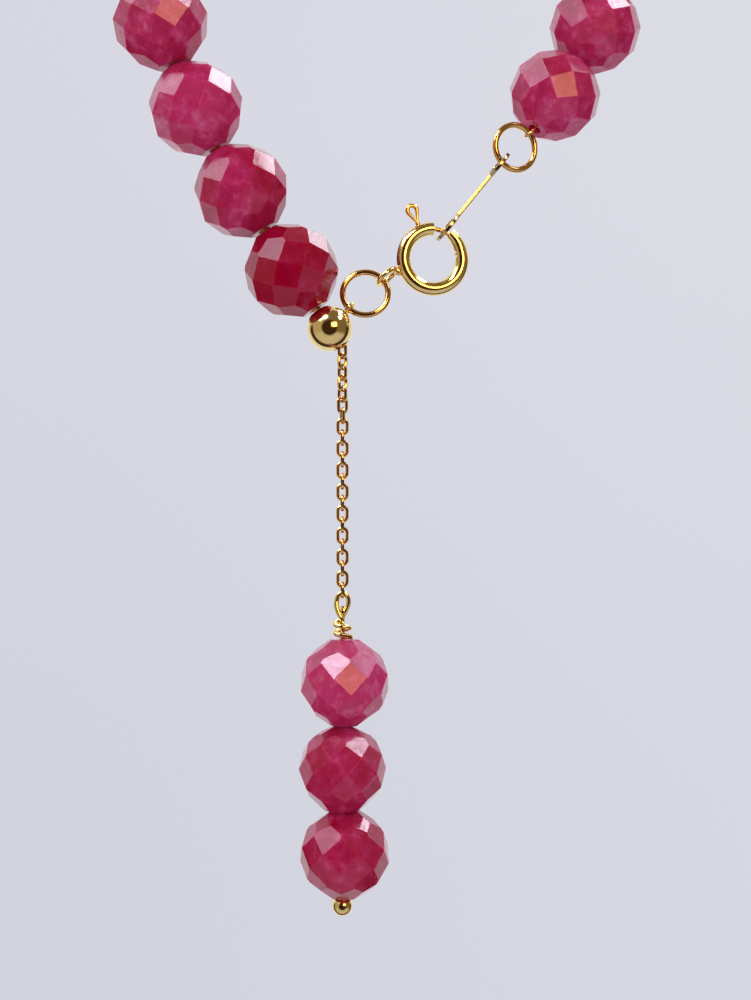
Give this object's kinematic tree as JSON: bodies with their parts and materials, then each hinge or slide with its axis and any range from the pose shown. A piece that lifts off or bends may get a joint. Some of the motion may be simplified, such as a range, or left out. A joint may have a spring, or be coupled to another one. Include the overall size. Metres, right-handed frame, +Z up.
{
  "type": "faceted rhodonite bead bracelet",
  "caption": "Hanging adjustable bracelet of faceted pink rhodonite beads with a gold slider, spring ring clasp and bead drop.",
  "frame": {"origin": "where the bracelet hangs: the inner side of the top of the bead loop, between two beads", "axes": "+Z up, along the hanging length; +X to the right across the loop; +Y away from the viewer, through the loop"},
  "size_m": [0.0541, 0.0128, 0.1221],
  "materials": {
    "stone": "polished, translucent pink with pale clouds",
    "gold": "polished yellow gold plate",
    "rubber_grip": "clear, matt"
  },
  "bodies": {
    "bracelet": {"strand_bead_01": "stone", "strand_bead_02": "stone", "strand_bead_03": "stone", "strand_bead_04": "stone", "strand_bead_05": "stone", "strand_bead_06": "stone", "strand_bead_07": "stone", "strand_bead_08": "stone", "strand_bead_09": "stone", "strand_bead_10": "stone", "strand_bead_11": "stone", "strand_bead_12": "stone", "strand_bead_13": "stone", "strand_bead_14": "stone", "strand_bead_15": "stone", "strand_bead_16": "stone", "strand_bead_17": "stone", "strand_bead_18": "stone", "strand_core": "gold", "strand_end_link": "gold", "slider_ball": "gold", "slider_grip": "rubber_grip", "jump_ring_1": "gold", "jump_ring_2": "gold", "clasp_loop": "gold", "clasp_body": "gold", "connector_plate": "gold", "chain_link_01": "gold"},
    "latch": {"clasp_latch": "gold"},
    "second_link": {"chain_link_02": "gold"},
    "tail": {"chain_link_03": "gold", "chain_link_04": "gold", "chain_link_05": "gold", "chain_link_06": "gold", "chain_link_07": "gold", "chain_link_08": "gold", "chain_link_09": "gold", "chain_link_10": "gold", "chain_link_11": "gold", "chain_link_12": "gold", "chain_link_13": "gold", "chain_link_14": "gold", "chain_link_15": "gold", "chain_link_16": "gold", "chain_link_17": "gold", "chain_link_18": "gold", "chain_link_19": "gold", "chain_link_20": "gold", "chain_link_21": "gold", "chain_link_22": "gold", "chain_link_23": "gold", "chain_link_24": "gold"},
    "drop": {"head_pin": "gold", "drop_bead_1": "stone", "drop_bead_2": "stone", "drop_bead_3": "stone"}
  },
  "joints": [
    {"name": "clasp_latch_turn", "type": "hinge", "parent": "bracelet", "child": "latch", "pos_m": [0.002, -0.00477, -0.05688], "axis": [-0.0523, -0.9986, 0], "range_deg": [0, 50], "stiffness_Nm_per_rad": 0.000003, "springref_deg": -22.92},
    {"name": "tail_swing", "type": "hinge", "parent": "bracelet", "child": "second_link", "pos_m": [-0.00593, -0.00389, -0.06471], "axis": [0.2588, 0.9659, 0], "range_deg": [-35, 18]},
    {"name": "tail_tilt", "type": "hinge", "parent": "second_link", "child": "tail", "pos_m": [-0.00593, -0.00389, -0.06566], "axis": [-0.5, 0.866, 0], "range_deg": [-30, 30]},
    {"name": "drop_swing", "type": "hinge", "parent": "tail", "child": "drop", "pos_m": [-0.00593, -0.00389, -0.08645], "axis": [0.2588, 0.9659, 0], "range_deg": [-35, 35]}
  ]
}
